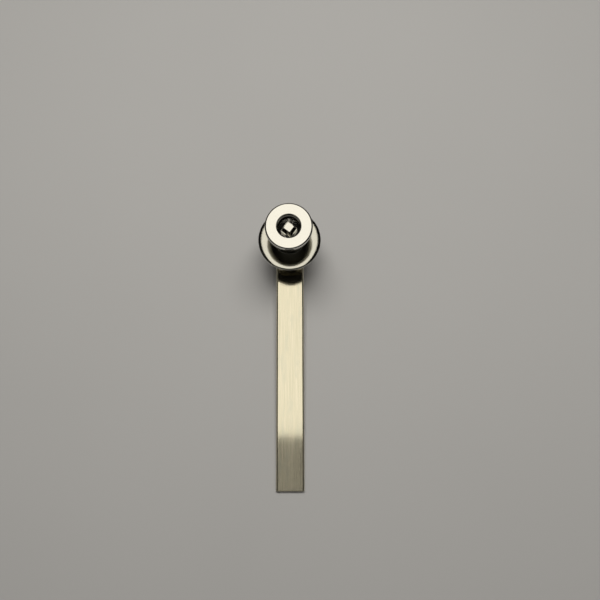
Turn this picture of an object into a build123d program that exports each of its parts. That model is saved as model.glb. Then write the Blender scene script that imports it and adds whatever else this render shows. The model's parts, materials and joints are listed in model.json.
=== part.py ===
# Quarter-turn latch lock for a boat's hatch or door, turned from stainless steel.
# A square post in the knob's recess takes a socket key and turns a long flat cam bar.
# The origin is on the lock's axis, in the plane where the flange meets its gasket.
# +Z points out of the panel, towards the key, and the bar points along -Y.
# All sizes are in millimetres and all angles in degrees.
from build123d import *
import math
import os

os.makedirs("parts", exist_ok=True)

# Knob and neck
knob_face_z = 36.0
knob_radius = 16.0
knob_thickness = 5.0
knob_bevel_width = 0.9
knob_bevel_drop = 0.6
knob_back_round = 0.5
neck_radius = 10.3
neck_foot_round = 0.5

# Flange, whose top is an arc that stands highest between the neck and the edge
flange_radius = 22.2
flange_neck_thickness = 2.1
flange_edge_thickness = 2.4
flange_crown_sag = 0.37
flange_bevel_width = 0.7
flange_bevel_drop = 0.45
flange_back_round = 0.6

# Small round on both corners of the knob's and the flange's bevel
bevel_corner_round = 0.2

# Key recess, with a dished floor
mouth_radius = 8.2
mouth_depth = 2.8
mouth_chamfer = 0.3
mouth_step = 0.5
recess_depth = 7.3
floor_dish_angle = 13.0

# Key post
post_width = 8.0
post_top_width = 4.8
post_height = 5.0
post_turn = 53.0
post_edge_round = 0.3

# Threaded barrel, with a pair of flats that keep it from turning in the panel
barrel_radius = 11.0
barrel_length = 19.0
barrel_chamfer = 0.8
barrel_flat_width = 20.0

# Stop lug on the barrel's end
lug_height = 2.4
lug_angle = 90.0
lug_wall = 2.0
lug_play_angle = 1.0
turn_angle = 90.0

# Spindle
head_thickness = 4.6
head_chamfer = 0.3
shaft_radius = 5.0
square_width = 8.0

# Spindle bushes, one pressed in at each end
bush_wall = 1.45
bush_length = 8.0
bush_flange = 1.0

# Seals
head_seal_cord = 1.4
shaft_seal_cord = 1.2
shaft_seal_z = 8.0
groove_side_gap = 0.3

# Pocket in the barrel's end and what it holds
pocket_depth = 5.4
thrust_washer_thickness = 0.8
spring_height = 1.35
spring_thickness = 0.4
spring_waves = 3
ring_thickness = 1.0
ring_radial_width = 1.7
ring_groove_depth = 0.4
ring_opening_angle = 50.0
ring_ear_radius = 1.1
ring_ear_hole_radius = 0.55

# Stop washer
stop_thickness = 3.0

# Hexagons of the nut and the screw have their corners turned away at this angle
hexagon_corner_angle = 30.0

# Gasket and mounting hardware on the barrel
gasket_radius = 20.6
gasket_thickness = 1.5
gasket_edge_round = 0.4
clamp_washer_overhang = 0.9
clamp_washer_thickness = 1.5
tooth_washer_overhang = 1.5
tooth_washer_rim = 1.9
tooth_washer_thickness = 1.0
tooth_count = 14
tooth_width = 1.6
nut_wall = 2.5
nut_thickness = 6.0

# Cam bar
bar_width = 20.0
bar_thickness = 3.0
bar_reach = 175.0
bar_tail = 13.0
bar_edge_round = 1.2
bar_end_round = 0.5

# Cam screw and its washers
screw_radius = 3.0
screw_length = 14.0
screw_head_width = 10.0
screw_head_height = 4.0
screw_tip_chamfer = 0.5
cam_washer_radius = 9.0
cam_washer_thickness = 1.6
cam_washer_edge_round = 0.3
split_washer_radius = 5.9
split_washer_thickness = 1.6
split_gap = 0.8
split_lean = 20.0

# Clearances
running_gap = 0.05
seal_gap = 0.1
head_gap = 0.2
end_gap = 0.2
swing_gap = 0.2
square_gap = 0.05
washer_gap = 0.2
thread_gap = 0.02

# Levels worked out from the sizes above
floor_z = knob_face_z - recess_depth
mouth_foot_z = knob_face_z - mouth_depth
head_back_z = floor_z - head_thickness
knob_back_z = knob_face_z - knob_thickness
knob_bevel_z = knob_face_z - knob_bevel_drop
flange_bevel_z = flange_edge_thickness - flange_bevel_drop
upper_flange_z = head_back_z - running_gap
ledge_z = upper_flange_z - bush_flange
barrel_end_z = -barrel_length
pocket_roof_z = barrel_end_z + pocket_depth
lower_flange_z = pocket_roof_z - bush_flange
thrust_top_z = lower_flange_z - running_gap
spring_top_z = thrust_top_z - thrust_washer_thickness
ring_top_z = spring_top_z - spring_height
stop_top_z = barrel_end_z - swing_gap
bar_top_z = stop_top_z - stop_thickness
bar_back_z = bar_top_z - bar_thickness
spindle_end_z = bar_back_z + end_gap
split_top_z = bar_back_z - cam_washer_thickness
screw_head_z = split_top_z - split_washer_thickness
screw_tip_z = screw_head_z + screw_length
washer_top_z = -gasket_thickness
tooth_top_z = washer_top_z - clamp_washer_thickness
nut_top_z = tooth_top_z - tooth_washer_thickness

# Radii worked out from the sizes above
face_radius = knob_radius - knob_bevel_width
crown_end_radius = flange_radius - flange_bevel_width
well_radius = mouth_radius - mouth_step
head_radius = well_radius - head_gap
floor_slope = math.tan(math.radians(floor_dish_angle))
floor_middle_z = floor_z - head_radius * floor_slope
post_foot_z = floor_z - (head_radius - post_width / 2) * floor_slope
bush_bore = shaft_radius + running_gap
bush_radius = bush_bore + bush_wall
bush_flange_radius = well_radius - seal_gap
head_groove_radius = well_radius - seal_gap - head_seal_cord
shaft_bore = shaft_radius + head_gap
shaft_groove_radius = shaft_bore - seal_gap - shaft_seal_cord
ring_inner_radius = shaft_radius - ring_groove_depth
ring_radius = ring_inner_radius + ring_radial_width
lug_inner_radius = barrel_radius - barrel_chamfer - lug_wall
lug_outer_radius = barrel_radius - barrel_chamfer
barrel_hole = barrel_radius + washer_gap
nut_width = 2 * (barrel_radius + nut_wall)
nut_corner_radius = nut_width / 2 / math.cos(math.pi / 6)
clamp_washer_radius = nut_corner_radius + clamp_washer_overhang
tooth_washer_radius = nut_width / 2 + tooth_washer_overhang
screw_hole = screw_radius + washer_gap
square_hole = square_width + 2 * square_gap


def near(shape, radius, height):
    """The corner of a profile that lies nearest to a radius and a height."""
    return shape.vertices().sort_by_distance((radius, height, 0))[0]


# Lock body: knob, neck, flange and barrel, turned in one piece
with BuildPart() as lock_body:
    with BuildSketch(Plane.XZ) as body_profile:
        with BuildLine():
            SagittaArc(
                (crown_end_radius, flange_edge_thickness),
                (neck_radius, flange_neck_thickness),
                -flange_crown_sag,
            )
            Polyline(
                (neck_radius, flange_neck_thickness),
                (neck_radius, knob_back_z),
                (knob_radius, knob_back_z),
                (knob_radius, knob_bevel_z),
                (face_radius, knob_face_z),
                (mouth_radius, knob_face_z),
                (mouth_radius, mouth_foot_z),
                (well_radius, mouth_foot_z - mouth_step),
                (well_radius, ledge_z),
                (bush_radius, ledge_z),
                (bush_radius, ledge_z - bush_length),
                (shaft_bore, ledge_z - bush_length),
                (shaft_bore, pocket_roof_z + bush_length),
                (bush_radius, pocket_roof_z + bush_length),
                (bush_radius, pocket_roof_z),
                (well_radius, pocket_roof_z),
                (well_radius, barrel_end_z),
                (barrel_radius, barrel_end_z),
                (barrel_radius, 0),
                (flange_radius, 0),
                (flange_radius, flange_bevel_z),
                (crown_end_radius, flange_edge_thickness),
            )
        make_face()
        fillet(near(body_profile, crown_end_radius, flange_edge_thickness), bevel_corner_round)
        fillet(near(body_profile, flange_radius, flange_bevel_z), bevel_corner_round)
        fillet(near(body_profile, flange_radius, 0), flange_back_round)
        fillet(near(body_profile, neck_radius, flange_neck_thickness), neck_foot_round)
        fillet(near(body_profile, knob_radius, knob_back_z), knob_back_round)
        fillet(near(body_profile, knob_radius, knob_bevel_z), bevel_corner_round)
        fillet(near(body_profile, face_radius, knob_face_z), bevel_corner_round)
        chamfer(near(body_profile, mouth_radius, knob_face_z), mouth_chamfer)
        chamfer(near(body_profile, barrel_radius, barrel_end_z), barrel_chamfer)
    revolve(axis=Axis.Z)
    with BuildSketch(Plane.XY.offset(barrel_end_z)):
        with BuildLine():
            half_lug = lug_angle / 2 - lug_play_angle / 2
            outer_arc = CenterArc((0, 0), lug_outer_radius, -half_lug, 2 * half_lug)
            inner_arc = CenterArc((0, 0), lug_inner_radius, -half_lug, 2 * half_lug)
            Line(outer_arc @ 0, inner_arc @ 0)
            Line(outer_arc @ 1, inner_arc @ 1)
        make_face()
    extrude(amount=-lug_height)
    with BuildSketch(Plane.XY.offset(barrel_end_z - lug_height)):
        flat_depth = barrel_radius - barrel_flat_width / 2
        with Locations(
            (barrel_radius - flat_depth / 2, 0),
            (flat_depth / 2 - barrel_radius, 0),
        ):
            Rectangle(flat_depth, 2 * barrel_radius)
    extrude(amount=barrel_length + lug_height, mode=Mode.SUBTRACT)
lock_body.part.label = "lock_body"
export_step(lock_body.part, "parts/lock_body.step")

# Rubber gasket under the flange
with BuildPart() as flange_gasket:
    with BuildSketch(Plane.XY):
        Circle(gasket_radius)
        Circle(barrel_hole, mode=Mode.SUBTRACT)
    extrude(amount=-gasket_thickness)
    fillet(flange_gasket.edges().group_by(Axis.Z)[0].sort_by(SortBy.RADIUS)[-1], gasket_edge_round)
flange_gasket.part.label = "flange_gasket"
export_step(flange_gasket.part, "parts/flange_gasket.step")

# Flat washer that the nut presses against the panel's back
with BuildPart() as clamp_washer:
    with BuildSketch(Plane.XY.offset(washer_top_z)):
        Circle(clamp_washer_radius)
        Circle(barrel_hole, mode=Mode.SUBTRACT)
    extrude(amount=-clamp_washer_thickness)
clamp_washer.part.label = "clamp_washer"
export_step(clamp_washer.part, "parts/clamp_washer.step")

# Tooth washer that keeps the nut from working loose
with BuildPart() as tooth_washer:
    with BuildSketch(Plane.XY.offset(tooth_top_z)):
        Circle(tooth_washer_radius)
        Circle(tooth_washer_radius - tooth_washer_rim, mode=Mode.SUBTRACT)
        tooth_length = tooth_washer_radius - tooth_washer_rim / 2 - barrel_hole
        with PolarLocations(barrel_hole + tooth_length / 2, tooth_count):
            Rectangle(tooth_length, tooth_width)
    extrude(amount=-tooth_washer_thickness)
tooth_washer.part.label = "tooth_washer"
export_step(tooth_washer.part, "parts/tooth_washer.step")

# Hexagon nut, with its corners turned away on both sides
with BuildPart() as mounting_nut:
    with BuildSketch(Plane.XY.offset(nut_top_z)):
        RegularPolygon(nut_width / 2, 6, major_radius=False)
        Circle(barrel_radius + thread_gap, mode=Mode.SUBTRACT)
    extrude(amount=-nut_thickness)
    with BuildSketch(Plane.XZ):
        corner_drop = (nut_corner_radius - nut_width / 2) * math.tan(math.radians(hexagon_corner_angle))
        with BuildLine():
            Polyline(
                (0, nut_top_z),
                (nut_width / 2, nut_top_z),
                (nut_corner_radius, nut_top_z - corner_drop),
                (nut_corner_radius, nut_top_z - nut_thickness + corner_drop),
                (nut_width / 2, nut_top_z - nut_thickness),
                (0, nut_top_z - nut_thickness),
                close=True,
            )
        make_face()
    revolve(axis=Axis.Z, mode=Mode.INTERSECT)
mounting_nut.part.label = "mounting_nut"
export_step(mounting_nut.part, "parts/mounting_nut.step")


def flanged_bush(flange_back_z, outward):
    """A plain bearing bush whose flange stands outward, +1 up or -1 down, from its seat."""
    with BuildPart() as bush:
        with BuildSketch(Plane.XY.offset(flange_back_z)):
            Circle(bush_radius)
            Circle(bush_bore, mode=Mode.SUBTRACT)
        extrude(amount=-outward * bush_length)
        with BuildSketch(Plane.XY.offset(flange_back_z)):
            Circle(bush_flange_radius)
            Circle(bush_bore, mode=Mode.SUBTRACT)
        extrude(amount=outward * bush_flange)
    return bush.part


upper_bush = flanged_bush(ledge_z, 1)
upper_bush.label = "upper_bush"
export_step(upper_bush, "parts/upper_bush.step")

lower_bush = flanged_bush(pocket_roof_z, -1)
lower_bush.label = "lower_bush"
export_step(lower_bush, "parts/lower_bush.step")

# Spindle: key post, sealed and dished head, shaft and the square that carries the bar
with BuildPart() as drive_spindle:
    with BuildSketch(Plane.XZ) as spindle_profile:
        head_seal_z = (floor_z + head_back_z) / 2
        half_head_groove = head_seal_cord / 2 + groove_side_gap
        half_shaft_groove = shaft_seal_cord / 2 + groove_side_gap
        ring_back_z = ring_top_z - ring_thickness
        with BuildLine():
            Polyline(
                (0, floor_middle_z),
                (head_radius, floor_z),
                (head_radius, head_seal_z + half_head_groove),
                (head_groove_radius, head_seal_z + half_head_groove),
                (head_groove_radius, head_seal_z - half_head_groove),
                (head_radius, head_seal_z - half_head_groove),
                (head_radius, head_back_z),
                (shaft_radius, head_back_z),
                (shaft_radius, shaft_seal_z + half_shaft_groove),
                (shaft_groove_radius, shaft_seal_z + half_shaft_groove),
                (shaft_groove_radius, shaft_seal_z - half_shaft_groove),
                (shaft_radius, shaft_seal_z - half_shaft_groove),
                (shaft_radius, ring_top_z),
                (ring_inner_radius, ring_top_z),
                (ring_inner_radius, ring_back_z),
                (shaft_radius, ring_back_z),
                (shaft_radius, stop_top_z),
                (0, stop_top_z),
                close=True,
            )
        make_face()
        chamfer(near(spindle_profile, head_radius, floor_z), head_chamfer)
    revolve(axis=Axis.Z)
    with BuildSketch(Plane.XY.offset(stop_top_z)):
        Circle(shaft_radius)
        Rectangle(square_width, square_width, mode=Mode.INTERSECT)
    extrude(amount=spindle_end_z - stop_top_z)
    with BuildSketch(Plane.XY.offset(spindle_end_z)):
        Circle(screw_radius + thread_gap)
    extrude(amount=screw_tip_z + end_gap - spindle_end_z, mode=Mode.SUBTRACT)
    with BuildSketch(Plane.XY.offset(floor_middle_z)):
        RectangleRounded(post_width, post_width, post_edge_round, rotation=post_turn)
    extrude(amount=post_foot_z - floor_middle_z)
    with BuildSketch(Plane.XY.offset(post_foot_z)):
        RectangleRounded(post_width, post_width, post_edge_round, rotation=post_turn)
    with BuildSketch(Plane.XY.offset(post_foot_z + post_height)):
        RectangleRounded(post_top_width, post_top_width, post_edge_round, rotation=post_turn)
    loft()
drive_spindle.part.label = "drive_spindle"
export_step(drive_spindle.part, "parts/drive_spindle.step")


def seal_ring(groove_radius, cord, centre_z):
    """A rubber ring of round cord that sits in a groove of the spindle."""
    with BuildPart() as seal:
        with BuildSketch(Plane.XZ):
            with Locations((groove_radius + cord / 2, centre_z)):
                Circle(cord / 2)
        revolve(axis=Axis.Z)
    return seal.part


head_seal = seal_ring(head_groove_radius, head_seal_cord, head_seal_z)
head_seal.label = "head_seal"
export_step(head_seal, "parts/head_seal.step")

shaft_seal = seal_ring(shaft_groove_radius, shaft_seal_cord, shaft_seal_z)
shaft_seal.label = "shaft_seal"
export_step(shaft_seal, "parts/shaft_seal.step")

# Thrust washer between the lower bush and the wave spring
with BuildPart() as thrust_washer:
    with BuildSketch(Plane.XY.offset(thrust_top_z)):
        Circle(bush_flange_radius - washer_gap)
        Circle(bush_bore, mode=Mode.SUBTRACT)
    extrude(amount=-thrust_washer_thickness)
thrust_washer.part.label = "thrust_washer"
export_step(thrust_washer.part, "parts/thrust_washer.step")

# Wave spring that takes up the end play, so that the bar stays where it is turned
with BuildPart() as single_wave:
    spring_inner_radius = bush_bore + washer_gap
    spring_outer_radius = ring_radius + washer_gap
    spring_mid_radius = (spring_inner_radius + spring_outer_radius) / 2
    spring_mid_z = spring_top_z - spring_height / 2
    wave_rise = (spring_height - spring_thickness) / 2
    sections_per_wave = 12
    for step in range(sections_per_wave + 1):
        share = step / sections_per_wave
        turn = 2 * math.pi * share / spring_waves
        outward = Vector(math.cos(turn), math.sin(turn), 0)
        along = Vector(-math.sin(turn), math.cos(turn), 0)
        rise = Vector(0, 0, spring_mid_z + wave_rise * math.cos(2 * math.pi * share))
        with BuildSketch(Plane(outward * spring_mid_radius + rise, x_dir=outward, z_dir=along)):
            Rectangle(spring_outer_radius - spring_inner_radius, spring_thickness)
    loft()

with BuildPart() as wave_spring:
    with PolarLocations(0, spring_waves):
        add(single_wave.part)
wave_spring.part.label = "wave_spring"
export_step(wave_spring.part, "parts/wave_spring.step")

# Retaining ring that keeps the spindle in when the bar is off
with BuildPart() as retaining_ring:
    with BuildSketch(Plane.XY.offset(ring_top_z)):
        Circle(ring_radius)
        Circle(ring_inner_radius, mode=Mode.SUBTRACT)
        half_opening = ring_opening_angle / 2
        with BuildLine():
            opening_arc = CenterArc((0, 0), 2 * ring_radius, 90 - half_opening, ring_opening_angle)
            Line(opening_arc @ 0, (0, 0))
            Line(opening_arc @ 1, (0, 0))
        make_face(mode=Mode.SUBTRACT)
        ear_distance = ring_radius - ring_radial_width / 2
        with PolarLocations(ear_distance, 2, 90 - half_opening, ring_opening_angle, endpoint=True):
            Circle(ring_ear_radius)
            Circle(ring_ear_hole_radius, mode=Mode.SUBTRACT)
        Circle(ring_inner_radius, mode=Mode.SUBTRACT)
    extrude(amount=-ring_thickness)
retaining_ring.part.label = "retaining_ring"
export_step(retaining_ring.part, "parts/retaining_ring.step")

# Stop washer: its half-turn lobe swings between the two sides of the barrel's lug
with BuildPart() as stop_washer:
    with BuildSketch(Plane.XY.offset(stop_top_z)):
        Circle(lug_inner_radius - swing_gap)
        with BuildLine():
            lobe_start = lug_angle / 2
            lobe_angle = 360 - lug_angle - turn_angle
            outer_arc = CenterArc((0, 0), lug_outer_radius, lobe_start, lobe_angle)
            Line(outer_arc @ 0, (0, 0))
            Line(outer_arc @ 1, (0, 0))
        make_face()
        Rectangle(square_hole, square_hole, mode=Mode.SUBTRACT)
    extrude(amount=-stop_thickness)
stop_washer.part.label = "stop_washer"
export_step(stop_washer.part, "parts/stop_washer.step")

# Cam bar, cut from flat bar
with BuildPart() as cam_bar:
    with BuildSketch(Plane.XY.offset(bar_top_z)):
        with Locations((0, (bar_tail - bar_reach) / 2)):
            Rectangle(bar_width, bar_reach + bar_tail)
        Rectangle(square_hole, square_hole, mode=Mode.SUBTRACT)
    extrude(amount=-bar_thickness)
    fillet(
        cam_bar.edges().filter_by(Axis.Y).filter_by(lambda edge: edge.length > bar_width),
        bar_edge_round,
    )
    end_faces = cam_bar.faces().filter_by(Axis.Y).sort_by(Axis.Y)
    fillet((end_faces[0].edges() + end_faces[-1].edges()).filter_by(Axis.X), bar_end_round)
cam_bar.part.label = "cam_bar"
export_step(cam_bar.part, "parts/cam_bar.step")

# Wide washer that covers the bar's square hole
with BuildPart() as cam_washer:
    with BuildSketch(Plane.XY.offset(bar_back_z)):
        Circle(cam_washer_radius)
        Circle(screw_hole, mode=Mode.SUBTRACT)
    extrude(amount=-cam_washer_thickness)
    fillet(
        cam_washer.edges().group_by(Axis.Z)[0].sort_by(SortBy.RADIUS)[-1], cam_washer_edge_round
    )
cam_washer.part.label = "cam_washer"
export_step(cam_washer.part, "parts/cam_washer.step")

# Split spring washer, pressed flat
with BuildPart() as split_washer:
    with BuildSketch(Plane.XY.offset(split_top_z)):
        Circle(split_washer_radius)
        Circle(screw_hole, mode=Mode.SUBTRACT)
    extrude(amount=-split_washer_thickness)
    split_centre = Vector(split_washer_radius, 0, split_top_z - split_washer_thickness / 2)
    split_plane = Plane(split_centre, x_dir=(1, 0, 0), z_dir=(0, 0, 1)).rotated((split_lean, 0, 0))
    with BuildSketch(split_plane):
        Rectangle(2 * (split_washer_radius - screw_radius), split_gap)
    extrude(amount=split_washer_thickness, both=True, mode=Mode.SUBTRACT)
split_washer.part.label = "split_washer"
export_step(split_washer.part, "parts/split_washer.step")

# Hexagon screw that clamps the bar to the spindle's square
with BuildPart() as cam_screw:
    with BuildSketch(Plane.XY.offset(screw_head_z)):
        RegularPolygon(screw_head_width / 2, 6, major_radius=False)
    extrude(amount=-screw_head_height)
    with BuildSketch(Plane.XZ):
        head_corner = screw_head_width / 2 / math.cos(math.pi / 6)
        head_drop = (head_corner - screw_head_width / 2) * math.tan(math.radians(hexagon_corner_angle))
        with BuildLine():
            Polyline(
                (0, screw_head_z),
                (head_corner, screw_head_z),
                (head_corner, screw_head_z - screw_head_height + head_drop),
                (screw_head_width / 2, screw_head_z - screw_head_height),
                (0, screw_head_z - screw_head_height),
                close=True,
            )
        make_face()
    revolve(axis=Axis.Z, mode=Mode.INTERSECT)
    with BuildSketch(Plane.XY.offset(screw_head_z)):
        Circle(screw_radius)
    extrude(amount=screw_length)
    chamfer(cam_screw.edges().group_by(Axis.Z)[-1], screw_tip_chamfer)
cam_screw.part.label = "cam_screw"
export_step(cam_screw.part, "parts/cam_screw.step")
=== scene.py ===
# Looks of the quarter-turn latch lock: its finishes, its turned and threaded body, and a plain studio.
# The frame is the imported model's. Lengths are metres, but millimetres where a name ends in _mm and in
# the turned body's profiles and grids. Angles are degrees, but radians on the way into a sine or cosine.
import bmesh
import bpy
import json
import math
import numpy as np
from mathutils import Matrix, Vector


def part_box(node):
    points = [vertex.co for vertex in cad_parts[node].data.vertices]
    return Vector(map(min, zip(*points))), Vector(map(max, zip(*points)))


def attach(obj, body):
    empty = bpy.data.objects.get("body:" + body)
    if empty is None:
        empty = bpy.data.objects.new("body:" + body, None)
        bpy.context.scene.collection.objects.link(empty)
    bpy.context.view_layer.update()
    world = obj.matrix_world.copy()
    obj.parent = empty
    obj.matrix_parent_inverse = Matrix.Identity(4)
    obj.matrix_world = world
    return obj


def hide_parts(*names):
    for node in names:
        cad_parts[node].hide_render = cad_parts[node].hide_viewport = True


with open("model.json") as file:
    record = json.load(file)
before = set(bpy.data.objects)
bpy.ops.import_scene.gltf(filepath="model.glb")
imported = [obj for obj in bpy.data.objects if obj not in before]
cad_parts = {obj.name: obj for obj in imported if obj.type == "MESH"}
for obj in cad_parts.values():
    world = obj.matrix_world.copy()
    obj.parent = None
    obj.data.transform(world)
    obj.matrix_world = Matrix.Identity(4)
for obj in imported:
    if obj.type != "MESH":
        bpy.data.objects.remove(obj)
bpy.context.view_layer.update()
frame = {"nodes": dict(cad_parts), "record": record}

mm = 0.001

# Camera, found from the outlines in the photograph
image_width_px = 600
camera_focal_px = 693.2
camera_place_mm = (7.3, -134.2, 477.8)
camera_tilt = 10.78
camera_roll = -0.21
camera_clip_mm = 10.0
sensor_width_mm = 36.0

# Floor's half width, so large that its edges stay out of the photograph's view
floor_half_size = 3.0

# Soft panel overhead, a dim strip at its near edge, and a window that doesn't show in the metal
panel_height_mm = 2500.0
panel_near_y_mm = -152.0
panel_far_y_mm = 2750.0
panel_left_x_mm = -520.0
panel_right_x_mm = 430.0
panel_radiance = 1.22
strip_x_mm = (-150.0, 60.0)
strip_near_y_mm = -420.0
strip_radiance = 0.35
window_place_mm = (20.0, 330.0, 950.0)
window_size_mm = (800.0, 350.0)
window_aim_mm = (0.0, -60.0, 0.0)
window_radiance = 9.6
light_colour = "#FFFBF2"

# Room that metal mirrors: a direction's dot product with the room line, which leans towards +Y, and how
# bright the room is there. It is dark where the bevels look in the photograph's view.
room_line = (0.0, 0.3, 1.0)
mirrored_room = (
    (0.00, 0.07), (0.10, 0.16), (0.21, 0.36), (0.27, 0.30), (0.34, 0.015), (0.54, 0.015),
    (0.62, 0.12), (0.74, 0.12), (0.82, 0.003))
mirrored_colour = "#FFFDF8"

# Room that the camera sees, and the even fill that it gives to what isn't mirrored
backdrop_colour = "#C4C2BE"
fill_colour = "#FFFCF6"
fill_strength = 0.08

# Lock body's profile, as radii and heights
body_low, body_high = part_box("lock_body")
flange_radius_mm = body_high.x / mm
knob_face_mm = body_high.z / mm
lug_end_mm = body_low.z / mm
knob_radius_mm = 16.0
knob_thickness_mm = 5.0
knob_back_mm = knob_face_mm - knob_thickness_mm
knob_bevel_width_mm = 0.9
knob_bevel_drop_mm = 0.6
knob_back_round_mm = 0.5
neck_radius_mm = 10.3
neck_foot_round_mm = 0.5
flange_neck_thickness_mm = 1.94
flange_edge_thickness_mm = 2.4
flange_crown_sag_mm = 0.43
flange_fall_radius_mm = 20.2
flange_fall_arc_mm = 13.0
flange_bevel_width_mm = 0.7
flange_bevel_drop_mm = 0.45
flange_back_round_mm = 0.6
corner_round_mm = 0.2
mouth_radius_mm = 8.2
mouth_depth_mm = 2.8
mouth_chamfer_mm = 0.3
well_radius_mm = 7.7
ledge_mm = 23.05
bush_radius_mm = 6.5
bush_length_mm = 8.0
shaft_bore_mm = 5.2
pocket_depth_mm = 5.4

# Steps of the profile's arcs, and columns of faces round the axis
bevel_top_steps = 3
bevel_wall_steps = 4
knob_back_steps = 6
neck_foot_steps = 8
flange_crown_steps = 24
flange_fall_steps = 8
flange_back_steps = 8
columns = 240

# Faces that aren't polished, the neck's and the knob's back, whose darker tint is painted shade under the
# knob: they lie above the foot if they are nearer the axis than the neck's limit, above the rise if they
# are further out, and below the top
dull_foot_mm = 1.0
dull_rise_mm = 3.2
dull_neck_mm = 10.7
dull_top_mm = knob_back_mm + 0.3

# Barrel, with its two flats and its stop lug
barrel_radius_mm = 11.0
barrel_length_mm = 19.0
barrel_chamfer_mm = 0.8
barrel_half_flat_mm = 10.0
lug_half_angle = 44.5
lug_wall_half_angle = 0.01

# Thread, whose form is its depth at shares of one pitch: crest, flank, rounded root, flank
thread_pitch_mm = 1.5
thread_depth_mm = 0.92
thread_turns = 10
thread_shares = np.array([0.0, 0.125, 0.42, 0.5, 0.625, 0.705, 1.0])
thread_depths = np.array([0.0, 0.0, 0.92, 1.0, 1.0, 0.92, 0.0])
thread_fade_turns = 0.25

# Points nearer than this are one, and edges that turn by more than this are sharp
merge_mm = 0.0005
sharp_angle = 28.0

# Tints of the turned steel and where they hold: heights on the body and the spindle, whose post's flanks
# are darker than its top and the recess floor as painted shade in the recess, and radii on the dull faces,
# darker towards the neck as painted shade
body_tints_mm = ((dull_rise_mm, "#C9C7BB"), (knob_back_mm, "#E4E2D9"))
post_top_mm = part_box("drive_spindle")[1].z / mm
# Painted shade: the post's flanks, between the two dark stops, are darkened where the recess shades them
spindle_tints_with_painted_shade_mm = (
    (28.9, "#E8E6DC"), (29.3, "#66645D"), (post_top_mm - 0.35, "#66645D"), (post_top_mm - 0.1, "#E0DED4"))
# Painted shade: the dull faces' tints darken towards the neck, where shade falls under the knob
dull_painted_shade_tints_mm = (
    (neck_radius_mm + 0.1, "#8C8A82"), (neck_radius_mm + 0.4, "#504F4A"), (knob_radius_mm - 0.5, "#F4F2EA"))
tint_span_mm = 40.0

# Least and most roughness of the polished faces
body_roughness = (0.06, 0.10)
spindle_roughness = (0.10, 0.14)


def linear(hex_colour):
    """An sRGB hex colour as linear red, green, blue and full alpha."""
    channels = np.array([int(hex_colour[i:i + 2], 16) / 255 for i in (1, 3, 5)])
    curve = np.where(channels <= 0.04045, channels / 12.92, ((channels + 0.055) / 1.055) ** 2.4)
    return (*curve.tolist(), 1.0)


def add_node(tree, kind, settings=None, links=None):
    """Adds a node. Settings are its properties or input values, and links feed its inputs."""
    node = tree.nodes.new(kind)
    for name, value in (settings or {}).items():
        if isinstance(name, str) and hasattr(node, name):
            setattr(node, name, value)
        else:
            node.inputs[name].default_value = value
    for name, source in (links or {}).items():
        tree.links.new(source, node.inputs[name])
    return node


def new_material(name):
    """An empty node material, its tree and its output."""
    material = bpy.data.materials.new(name)
    material.use_nodes = True
    tree = material.node_tree
    tree.nodes.clear()
    output = add_node(tree, "ShaderNodeOutputMaterial")
    return material, tree, output


def set_stops(ramp, stops):
    """Gives a colour ramp its stops, as places and colours, in place of the two that it comes with."""
    elements = ramp.color_ramp.elements
    for place, colour in stops:
        elements.new(place).color = colour
    elements.remove(elements[0])
    elements.remove(elements[-1])


def lathe_place(tree):
    """A point's place, its height along the axis and its distance from the axis."""
    place = add_node(tree, "ShaderNodeTexCoord").outputs["Object"]
    split = add_node(tree, "ShaderNodeSeparateXYZ", links={0: place})
    flat = add_node(tree, "ShaderNodeCombineXYZ", links={0: split.outputs[0], 1: split.outputs[1]})
    radius = add_node(tree, "ShaderNodeVectorMath", {"operation": "LENGTH"}, {0: flat.outputs[0]})
    return place, split.outputs[2], radius.outputs["Value"]


def lathe_rings(tree, height, radius):
    """A bump of fine rings round the axis, from noise along the radius plus the height.

    A lathe's marks are about 0.1 mm apart. These are wider, so that they show.
    """
    ring_spacing = 0.25 * mm
    ring_depth = 0.006 * mm
    along = add_node(tree, "ShaderNodeMath", {"operation": "ADD"}, {0: radius, 1: height})
    rings = add_node(tree, "ShaderNodeTexNoise",
                     {"noise_dimensions": "1D", "Scale": 1 / ring_spacing, "Detail": 2.0},
                     {"W": along.outputs[0]})
    bump = add_node(tree, "ShaderNodeBump", {"Strength": 1.0, "Distance": ring_depth},
                    {"Height": rings.outputs[0]})
    return bump.outputs[0]


def tint_along(tree, distance, tints_mm):
    """A tint that changes along a height or a radius, given as places in mm and the colours there."""
    share = add_node(tree, "ShaderNodeMapRange", {"From Max": tint_span_mm * mm}, {"Value": distance})
    tints = add_node(tree, "ShaderNodeValToRGB", links={0: share.outputs[0]})
    set_stops(tints, [(place_mm / tint_span_mm, linear(colour)) for place_mm, colour in tints_mm])
    return tints.outputs[0]


def turned_stainless(name, tints_mm, roughness_range):
    """Stainless steel turned or milled and then polished: bright and clear, with a few faint smears.

    Its tint changes with height, as the tints give it: the flange is a little darker than the knob, and the
    spindle post's flanks are darkened as painted shade in the recess.
    """
    material, tree, output = new_material(name)
    smear_size = 9 * mm
    place, height, radius = lathe_place(tree)
    smears = add_node(tree, "ShaderNodeTexNoise", {"Scale": 1 / smear_size, "Detail": 3.0},
                      {"Vector": place})
    roughness = add_node(tree, "ShaderNodeMapRange",
                         {"From Min": 0.3, "From Max": 0.7,
                          "To Min": roughness_range[0], "To Max": roughness_range[1]},
                         {"Value": smears.outputs[0]})
    worn = add_node(tree, "ShaderNodeMapRange", {"To Min": 0.96, "To Max": 1.02},
                    {"Value": smears.outputs[0]})
    tint = add_node(tree, "ShaderNodeVectorMath", {"operation": "SCALE"},
                    {0: tint_along(tree, height, tints_mm), "Scale": worn.outputs[0]})
    shader = add_node(tree, "ShaderNodeBsdfPrincipled", {"Metallic": 1.0},
                      {"Base Color": tint.outputs[0], "Roughness": roughness.outputs[0],
                       "Normal": lathe_rings(tree, height, radius)})
    tree.links.new(shader.outputs[0], output.inputs["Surface"])
    return material


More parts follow.
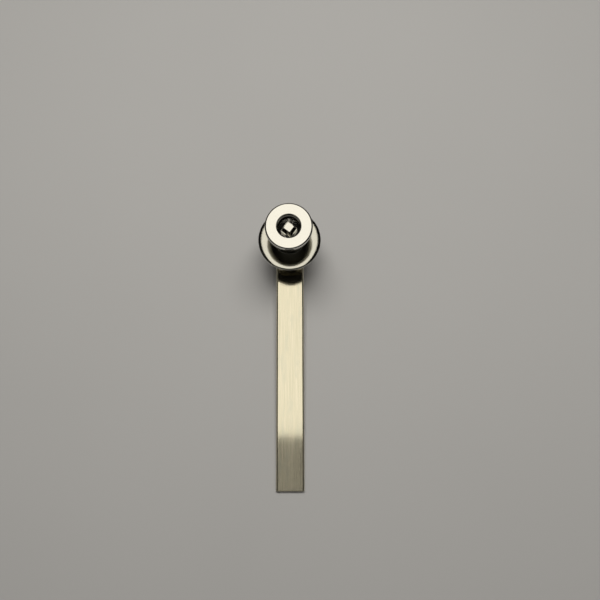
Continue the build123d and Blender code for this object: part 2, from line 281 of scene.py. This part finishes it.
def dull_stainless_painted_shade():
    """Stainless steel with the rougher finish that the lathe tool left, which stays dark where it is seen
    edge on.

    Its grey is painted shade that changes with the distance from the axis: mid grey on the neck, darkest
    on the knob's back beside the neck, where shade falls under the knob, and light at the knob's rim.
    """
    material, tree, output = new_material("dull_stainless_painted_shade")
    _, height, radius = lathe_place(tree)
    shader = add_node(tree, "ShaderNodeBsdfPrincipled",
                      {"Metallic": 1.0, "Roughness": 0.3, "Specular Tint": linear("#595959")},
                      {"Base Color": tint_along(tree, radius, dull_painted_shade_tints_mm),
                       "Normal": lathe_rings(tree, height, radius)})
    tree.links.new(shader.outputs[0], output.inputs["Surface"])
    return material


def brushed_bar():
    """Cold-rolled stainless flat bar brushed along its length: grain lines that stretch what it mirrors.

    Real grain is about 0.1 mm wide. This grain is wider, so that it shows. Faint blotches lie over it,
    where the brushing took less.
    """
    material, tree, output = new_material("brushed_stainless_flat_bar")
    grain_width = 0.3 * mm
    grain_length = 40 * mm
    grain_depth = 0.01 * mm
    blotch_width = 4 * mm
    blotch_length = 14 * mm
    place = add_node(tree, "ShaderNodeTexCoord")
    stretched = add_node(tree, "ShaderNodeMapping",
                         {"Scale": (1 / grain_width, 1 / grain_length, 1 / grain_width)},
                         {"Vector": place.outputs["Object"]})
    blotched = add_node(tree, "ShaderNodeMapping",
                        {"Scale": (1 / blotch_width, 1 / blotch_length, 1 / blotch_width)},
                        {"Vector": place.outputs["Object"]})
    grain = add_node(tree, "ShaderNodeTexNoise", {"Scale": 1.0, "Detail": 4.0, "Roughness": 0.65},
                     {"Vector": stretched.outputs[0]})
    bump = add_node(tree, "ShaderNodeBump", {"Strength": 1.0, "Distance": grain_depth},
                    {"Height": grain.outputs[0]})
    streaks = add_node(tree, "ShaderNodeMapRange", {"From Min": 0.35, "From Max": 0.65},
                       {"Value": grain.outputs[0]})
    brushed = add_node(tree, "ShaderNodeMix",
                       {"data_type": "RGBA", "A": linear("#CCC7AF"), "B": linear("#E0D8C1")},
                       {0: streaks.outputs[0]})
    cloud = add_node(tree, "ShaderNodeTexNoise", {"Scale": 1.0, "Detail": 3.0},
                     {"Vector": blotched.outputs[0]})
    clouds = add_node(tree, "ShaderNodeMapRange", {"From Min": 0.55, "From Max": 0.75},
                      {"Value": cloud.outputs[0]})
    tint = add_node(tree, "ShaderNodeMix", {"data_type": "RGBA", "B": linear("#CFCBB6")},
                    {0: clouds.outputs[0], "A": brushed.outputs["Result"]})
    roughness = add_node(tree, "ShaderNodeMapRange",
                         {"From Min": 0.3, "From Max": 0.7, "To Min": 0.04, "To Max": 0.10},
                         {"Value": grain.outputs[0]})
    shader = add_node(tree, "ShaderNodeBsdfPrincipled", {"Metallic": 1.0},
                      {"Base Color": tint.outputs["Result"], "Roughness": roughness.outputs[0],
                       "Normal": bump.outputs[0]})
    tree.links.new(shader.outputs[0], output.inputs["Surface"])
    return material


def machined_stainless():
    """Stainless steel as it leaves the press or the lathe: even, a little duller than the body."""
    material, tree, output = new_material("machined_stainless")
    mottle_size = 1.5 * mm
    place = add_node(tree, "ShaderNodeTexCoord")
    mottle = add_node(tree, "ShaderNodeTexNoise", {"Scale": 1 / mottle_size, "Detail": 4.0},
                      {"Vector": place.outputs["Object"]})
    roughness = add_node(tree, "ShaderNodeMapRange",
                         {"From Min": 0.3, "From Max": 0.7, "To Min": 0.12, "To Max": 0.22},
                         {"Value": mottle.outputs[0]})
    tint = add_node(tree, "ShaderNodeMix",
                    {"data_type": "RGBA", "A": linear("#B9B5AA"), "B": linear("#C9C5BA")},
                    {0: mottle.outputs[0]})
    shader = add_node(tree, "ShaderNodeBsdfPrincipled", {"Metallic": 1.0},
                      {"Base Color": tint.outputs["Result"], "Roughness": roughness.outputs[0]})
    tree.links.new(shader.outputs[0], output.inputs["Surface"])
    return material


def moulded_rubber():
    """Black moulded nitrile rubber: dark, matt, with a faint dusty mottle."""
    material, tree, output = new_material("black_nitrile_rubber")
    dust_size = 0.8 * mm
    dust_depth = 0.02 * mm
    place = add_node(tree, "ShaderNodeTexCoord")
    dust = add_node(tree, "ShaderNodeTexNoise", {"Scale": 1 / dust_size, "Detail": 5.0},
                    {"Vector": place.outputs["Object"]})
    tint = add_node(tree, "ShaderNodeMix",
                    {"data_type": "RGBA", "A": linear("#141414"), "B": linear("#1F1F1E")},
                    {0: dust.outputs[0]})
    bump = add_node(tree, "ShaderNodeBump", {"Strength": 0.6, "Distance": dust_depth},
                    {"Height": dust.outputs[0]})
    shader = add_node(tree, "ShaderNodeBsdfPrincipled", {"Roughness": 0.62, "Specular IOR Level": 0.25},
                      {"Base Color": tint.outputs["Result"], "Normal": bump.outputs[0]})
    tree.links.new(shader.outputs[0], output.inputs["Surface"])
    return material


def machined_acetal():
    """White acetal plastic turned to size: off-white, faintly waxy."""
    material, tree, output = new_material("white_acetal_plastic")
    cloud_size = 2 * mm
    place = add_node(tree, "ShaderNodeTexCoord")
    cloud = add_node(tree, "ShaderNodeTexNoise", {"Scale": 1 / cloud_size, "Detail": 3.0},
                     {"Vector": place.outputs["Object"]})
    tint = add_node(tree, "ShaderNodeMix",
                    {"data_type": "RGBA", "A": linear("#DEDBD2"), "B": linear("#E8E5DD")},
                    {0: cloud.outputs[0]})
    shader = add_node(tree, "ShaderNodeBsdfPrincipled", {"Roughness": 0.4},
                      {"Base Color": tint.outputs["Result"]})
    tree.links.new(shader.outputs[0], output.inputs["Surface"])
    return material


def pale_floor():
    """Pale grey painted board: matt, with hardly seen clouds."""
    material, tree, output = new_material("pale_grey_board")
    cloud_size = 180 * mm
    place = add_node(tree, "ShaderNodeTexCoord")
    cloud = add_node(tree, "ShaderNodeTexNoise", {"Scale": 1 / cloud_size, "Detail": 2.0},
                     {"Vector": place.outputs["Object"]})
    tint = add_node(tree, "ShaderNodeMix",
                    {"data_type": "RGBA", "A": linear("#B0B0B1"), "B": linear("#B4B4B5")},
                    {0: cloud.outputs[0]})
    shader = add_node(tree, "ShaderNodeBsdfPrincipled", {"Roughness": 0.85, "Specular IOR Level": 0.2},
                      {"Base Color": tint.outputs["Result"]})
    tree.links.new(shader.outputs[0], output.inputs["Surface"])
    return material


def arc(centre, radius, start, end, steps):
    """Points of a profile on an arc: centre plus radius times cosine and sine, from start to end."""
    turn = np.radians(np.linspace(start, end, steps + 1))
    return [(centre[0] + radius * c, centre[1] + radius * s) for c, s in zip(np.cos(turn), np.sin(turn))]


def bevel(edge_mm, top_mm, width_mm, drop_mm, fall):
    """A turned edge: a top that falls by an angle, a straight bevel and a wall, with round corners.

    Each corner is an arc of the corner radius, set back from the sharp corner by the radius times the
    tangent of half the angle that the profile turns there.
    """
    slope = math.degrees(math.atan2(drop_mm, width_mm))
    radius = corner_round_mm
    top_setback = radius * math.tan(math.radians(slope - fall) / 2)
    wall_setback = radius * math.tan(math.radians(90 - slope) / 2)
    down = math.radians(fall)
    start_r = edge_mm - width_mm - top_setback * math.cos(down)
    start_z = top_mm + top_setback * math.sin(down)
    top_centre = (start_r - radius * math.sin(down), start_z - radius * math.cos(down))
    wall_centre = (edge_mm - radius, top_mm - drop_mm - wall_setback)
    return (arc(top_centre, radius, 90 - fall, 90 - slope, bevel_top_steps)
            + arc(wall_centre, radius, 90 - slope, 0, bevel_wall_steps))


def knob_profile():
    """The lock body's profile from the upper bush's seat up the recess and over the knob to its back."""
    mouth_foot = knob_face_mm - mouth_depth_mm
    back = knob_back_round_mm
    return [
        (bush_radius_mm, ledge_mm),
        (well_radius_mm, ledge_mm),
        (well_radius_mm, mouth_foot - (mouth_radius_mm - well_radius_mm)),
        (mouth_radius_mm, mouth_foot),
        (mouth_radius_mm, knob_face_mm - mouth_chamfer_mm),
        (mouth_radius_mm + mouth_chamfer_mm, knob_face_mm),
        *bevel(knob_radius_mm, knob_face_mm, knob_bevel_width_mm, knob_bevel_drop_mm, 0.0),
        *arc((knob_radius_mm - back, knob_back_mm + back), back, 0, -90, knob_back_steps),
    ]


def flange_profile():
    """The lock body's profile from the neck's top down and over the flange to the barrel.

    The flange's top is an arc from the neck to the edge bevel, with radius chord^2 / (8 sag) + sag / 2.
    Near the edge a tighter arc starts in line with it, so the two centres lie on one line with the join.
    The neck's foot is a small arc that touches the neck and the flange's top.
    """
    crown_end = flange_radius_mm - flange_bevel_width_mm
    chord_r = crown_end - neck_radius_mm
    chord_z = flange_neck_thickness_mm - flange_edge_thickness_mm
    chord = math.hypot(chord_r, chord_z)
    crown_arc = chord ** 2 / (8 * flange_crown_sag_mm) + flange_crown_sag_mm / 2
    centre_drop = crown_arc - flange_crown_sag_mm
    crown_r = (crown_end + neck_radius_mm) / 2 - centre_drop * chord_z / chord
    crown_z = (flange_neck_thickness_mm + flange_edge_thickness_mm) / 2 - centre_drop * chord_r / chord

    foot = neck_foot_round_mm
    foot_r = neck_radius_mm + foot
    foot_z = crown_z + math.sqrt((crown_arc + foot) ** 2 - (foot_r - crown_r) ** 2)
    inner_angle = math.degrees(math.atan2(foot_z - crown_z, foot_r - crown_r))

    join = math.acos((flange_fall_radius_mm - crown_r) / crown_arc)
    centre_gap = crown_arc - flange_fall_arc_mm
    fall_r = crown_r + centre_gap * math.cos(join)
    fall_z = crown_z + centre_gap * math.sin(join)
    outer = math.acos((crown_end - fall_r) / flange_fall_arc_mm)
    edge_top = fall_z + flange_fall_arc_mm * math.sin(outer)
    join_angle, outer_angle = math.degrees(join), math.degrees(outer)

    back = flange_back_round_mm
    return [
        (neck_radius_mm, knob_back_mm),
        *arc((foot_r, foot_z), foot, 180, 180 + inner_angle, neck_foot_steps),
        *arc((crown_r, crown_z), crown_arc, inner_angle, join_angle, flange_crown_steps)[1:],
        *arc((fall_r, fall_z), flange_fall_arc_mm, join_angle, outer_angle, flange_fall_steps)[1:-1],
        *bevel(flange_radius_mm, edge_top, flange_bevel_width_mm, flange_bevel_drop_mm, 90 - outer_angle),
        *arc((flange_radius_mm - back, back), back, 0, -90, flange_back_steps),
        (barrel_radius_mm, 0.0),
    ]


def bore_profile():
    """The lock body's profile from the barrel's end up through its pocket and bore to the bush's seat."""
    pocket_roof = pocket_depth_mm - barrel_length_mm
    return [
        (well_radius_mm, -barrel_length_mm),
        (well_radius_mm, pocket_roof),
        (bush_radius_mm, pocket_roof),
        (bush_radius_mm, pocket_roof + bush_length_mm),
        (shaft_bore_mm, pocket_roof + bush_length_mm),
        (shaft_bore_mm, ledge_mm - bush_length_mm),
        (bush_radius_mm, ledge_mm - bush_length_mm),
        (bush_radius_mm, ledge_mm),
    ]


def flatted(radius, angle):
    """A radius cut back to the barrel's two flats, which are at the half flat over the angle's cosine."""
    least_cosine = 1e-6
    return np.minimum(radius, barrel_half_flat_mm / np.maximum(np.abs(np.cos(angle)), least_cosine))


def turned_grid(profile, closed):
    """A profile carried round the axis: its radii and heights down the rows, the angles along them."""
    points = np.array(profile)
    return points[:, :1] + 0 * closed, points[:, 1:], closed[None]


def skin_grid(closed):
    """The knob, the neck and the flange. The last row lies on the barrel, within its flats."""
    radius, height, turn = turned_grid(knob_profile() + flange_profile(), closed)
    radius[-1] = flatted(radius[-1], closed)
    return radius, height, turn


def barrel_end_grid(closed):
    """The barrel's chamfer and its end, with the lug as a step in z either side of the angle 0."""
    from_lug = np.abs((closed + np.pi) % (2 * np.pi) - np.pi)
    end = np.full_like(closed, -barrel_length_mm)
    lug = np.where(from_lug < np.radians(lug_half_angle), lug_end_mm, end)
    barrel = flatted(barrel_radius_mm, closed)
    chamfer = flatted(barrel_radius_mm - barrel_chamfer_mm, closed)
    bore = np.full_like(closed, well_radius_mm)
    return (np.stack([barrel, chamfer, chamfer, bore, bore]),
            np.stack([end + barrel_chamfer_mm, end, lug, lug, end]), closed[None])


def thread_grids(angle, closed):
    """The helical thread, and the plain barrel above and below it.

    On the thread, z falls by one pitch a turn, and r is the barrel's radius less the depth at that share
    of the pitch, within the barrel's flats. The depth grows from nothing at each end of the helix.
    """
    foot_mm = barrel_chamfer_mm - barrel_length_mm
    start_mm = foot_mm + thread_pitch_mm * (thread_turns + 1)
    end_turn = 2 * np.pi * thread_turns
    around = np.concatenate([angle + 2 * np.pi * k for k in range(thread_turns)] + [[end_turn]])
    share = thread_shares[:, None]
    fade = np.clip(np.minimum(around, end_turn - around) / (2 * np.pi * thread_fade_turns), 0, 1)
    radius = barrel_radius_mm - thread_depth_mm * fade * thread_depths[:, None]
    height = start_mm - thread_pitch_mm * (around / (2 * np.pi) + share)
    barrel = flatted(barrel_radius_mm, closed)
    fall = thread_pitch_mm * closed / (2 * np.pi)
    top = np.zeros_like(closed)
    start = np.full_like(closed, start_mm)
    foot = np.full_like(closed, foot_mm)
    return [
        (flatted(radius, around), height, around[None]),
        (np.stack([barrel, barrel, barrel]), np.stack([top, start, start - fall]), closed[None]),
        (np.stack([barrel, barrel]), np.stack([foot + thread_pitch_mm - fall, foot]), closed[None]),
    ]


def grid_faces(rows, cols):
    """Corner numbers of the quads between neighbouring rows and columns of a grid of points."""
    first = np.arange(rows * cols).reshape(rows, cols)
    return np.stack([first[:-1, :-1], first[1:, :-1], first[1:, 1:], first[:-1, 1:]], -1).reshape(-1, 4)


def closed_mesh(name, grids):
    """One closed mesh from grids of radius r, height z and angle a, whose points are (r cos a, r sin a, z).

    Points that meet are merged, and the faces are turned outwards.
    """
    points, faces, count = [], [], 0
    for grid in grids:
        radius, height, turn = np.broadcast_arrays(*grid)
        place = np.stack([radius * np.cos(turn), radius * np.sin(turn), height], -1) * mm
        points.append(place.reshape(-1, 3))
        faces.append(grid_faces(*radius.shape) + count)
        count += radius.size
    mesh = bpy.data.meshes.new(name)
    mesh.from_pydata(np.concatenate(points), [], np.concatenate(faces).tolist())
    work = bmesh.new()
    work.from_mesh(mesh)
    bmesh.ops.remove_doubles(work, verts=work.verts, dist=merge_mm * mm)
    bmesh.ops.recalc_face_normals(work, faces=work.faces)
    work.to_mesh(mesh)
    work.free()
    mesh.shade_smooth()
    mesh.set_sharp_from_angle(angle=math.radians(sharp_angle))
    return mesh


def mark_dull_faces(mesh):
    """Gives the second finish, dull and darkened as painted shade, to the neck's faces and those of the
    knob's back, by the faces' centres.
    """
    centre = np.empty(3 * len(mesh.polygons))
    mesh.polygons.foreach_get("center", centre)
    x, y, z = centre.reshape(-1, 3).T / mm
    lowest = np.where(np.hypot(x, y) < dull_neck_mm, dull_foot_mm, dull_rise_mm)
    dull = (z > lowest) & (z < dull_top_mm)
    mesh.polygons.foreach_set("material_index", dull.astype(np.int32))


def turned_body():
    """The lock body as one closed surface, with columns of points at even angles and at the lug's walls.

    The closed angles end with a full turn, which repeats the first column.
    """
    lug_walls = np.radians([lug_half_angle - lug_wall_half_angle, lug_half_angle + lug_wall_half_angle])
    even = np.arange(columns) * 2 * np.pi / columns
    angle = np.sort(np.concatenate([even, lug_walls, 2 * np.pi - lug_walls]))
    closed = np.append(angle, 2 * np.pi)
    mesh = closed_mesh("lock_body_turned", [
        skin_grid(closed), barrel_end_grid(closed), turned_grid(bore_profile(), closed),
        *thread_grids(angle, closed)])
    mark_dull_faces(mesh)
    piece = bpy.data.objects.new("lock_body_turned", mesh)
    bpy.context.scene.collection.objects.link(piece)
    return piece


def studio_floor():
    """A flat board that touches the screw's head and the bar's tip, which is how the lock lies."""
    screw_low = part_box("cam_screw")[0]
    bar_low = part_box("cam_bar")[0]
    slope = (bar_low.z - screw_low.z) / (bar_low.y - screw_low.y)
    level = screw_low.z - slope * screw_low.y
    side = np.array([-1.0, 1.0]) * floor_half_size
    across, along = np.meshgrid(side, side)
    points = np.stack([across, along, level + slope * along], -1).reshape(-1, 3)
    mesh = bpy.data.meshes.new("studio_floor")
    mesh.from_pydata(points, [], [(0, 1, 3, 2)])
    board = bpy.data.objects.new("studio_floor", mesh)
    bpy.context.scene.collection.objects.link(board)
    mesh.materials.append(pale_floor())


def area_light(name, place_mm, size_mm, radiance, aim_mm, in_metal=True):
    """A rectangular soft light that faces a point. Its radiance is its power over pi times its area."""
    lamp = bpy.data.lights.new(name, "AREA")
    lamp.shape = "RECTANGLE"
    lamp.size = size_mm[0] * mm
    lamp.size_y = size_mm[1] * mm
    lamp.energy = radiance * math.pi * lamp.size * lamp.size_y
    lamp.color = linear(light_colour)[:3]
    light = bpy.data.objects.new(name, lamp)
    bpy.context.scene.collection.objects.link(light)
    direction = Vector(place_mm) - Vector(aim_mm)
    turn = direction.to_track_quat("Z", "Y").to_matrix().to_4x4()
    light.matrix_world = Matrix.Translation(Vector(place_mm) * mm) @ turn
    light.visible_glossy = in_metal


def overhead_light(name, x_mm, y_mm, radiance):
    """A level rectangular light at the panel's height, between two places along X and two along Y."""
    middle_mm = (sum(x_mm) / 2, sum(y_mm) / 2, panel_height_mm)
    size_mm = (x_mm[1] - x_mm[0], y_mm[1] - y_mm[0])
    area_light(name, middle_mm, size_mm, radiance, (middle_mm[0], middle_mm[1], 0.0))


def studio_lights():
    """The panel and the strip overhead, which the polished faces mirror, and the window for the rest."""
    overhead_light("overhead_panel", (panel_left_x_mm, panel_right_x_mm),
                   (panel_near_y_mm, panel_far_y_mm), panel_radiance)
    overhead_light("overhead_strip", strip_x_mm, (strip_near_y_mm, panel_near_y_mm), strip_radiance)
    area_light("window", window_place_mm, window_size_mm, window_radiance, window_aim_mm, in_metal=False)


def studio_room():
    """The world: a plain backdrop for the camera, the mirrored room for metal, and an even fill."""
    world = bpy.data.worlds.new("studio")
    bpy.context.scene.world = world
    world.use_nodes = True
    tree = world.node_tree
    tree.nodes.clear()
    path = add_node(tree, "ShaderNodeLightPath")
    backdrop = add_node(tree, "ShaderNodeBackground", {"Color": linear(backdrop_colour), "Strength": 1.0})
    direction = add_node(tree, "ShaderNodeTexCoord")
    along = add_node(tree, "ShaderNodeVectorMath", {"operation": "DOT_PRODUCT", 1: room_line},
                     {0: direction.outputs["Generated"]})
    room = add_node(tree, "ShaderNodeValToRGB", links={0: along.outputs["Value"]})
    set_stops(room, [(place, (strength, strength, strength, 1.0)) for place, strength in mirrored_room])
    mirrored = add_node(tree, "ShaderNodeBackground", {"Color": linear(mirrored_colour)},
                        {"Strength": room.outputs[0]})
    fill = add_node(tree, "ShaderNodeBackground", {"Color": linear(fill_colour), "Strength": fill_strength})
    unseen = add_node(tree, "ShaderNodeMixShader", links={
        0: path.outputs["Is Glossy Ray"], 1: fill.outputs[0], 2: mirrored.outputs[0]})
    whole = add_node(tree, "ShaderNodeMixShader", links={
        0: path.outputs["Is Camera Ray"], 1: unseen.outputs[0], 2: backdrop.outputs[0]})
    add_node(tree, "ShaderNodeOutputWorld", links={"Surface": whole.outputs[0]})


def studio_camera():
    """The camera at the photograph's place and angle."""
    lens = bpy.data.cameras.new("camera")
    lens.sensor_width = sensor_width_mm
    lens.lens = camera_focal_px * sensor_width_mm / image_width_px
    lens.clip_start = camera_clip_mm * mm
    camera = bpy.data.objects.new("camera", lens)
    bpy.context.scene.collection.objects.link(camera)
    tilt = Matrix.Rotation(math.radians(camera_tilt), 4, "X")
    roll = Matrix.Rotation(math.radians(camera_roll), 4, "Z")
    camera.matrix_world = Matrix.Translation(np.array(camera_place_mm) * mm) @ tilt @ roll
    bpy.context.scene.camera = camera


finishes = {
    "turned_stainless": turned_stainless("turned_polished_stainless", body_tints_mm, body_roughness),
    "flat_bar_stainless": brushed_bar(),
    "plain_stainless": machined_stainless(),
    "black_rubber": moulded_rubber(),
    "white_acetal": machined_acetal(),
}
for part in frame["record"]["subparts"]:
    mesh = frame["nodes"][part["node"]].data
    mesh.materials.clear()
    mesh.materials.append(finishes[part["material_slot"]])
# The spindle's tints darken the post's flanks as painted shade in the recess
frame["nodes"]["drive_spindle"].data.materials[0] = turned_stainless(
    "milled_polished_stainless", spindle_tints_with_painted_shade_mm, spindle_roughness)

body = turned_body()
body.data.materials.append(finishes["turned_stainless"])
# The dull faces' material, whose darker tint is painted shade under the knob
body.data.materials.append(dull_stainless_painted_shade())
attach(body, "housing")
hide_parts("lock_body")

studio_floor()
studio_lights()
studio_room()
studio_camera()
bpy.context.scene.view_settings.view_transform = "Standard"
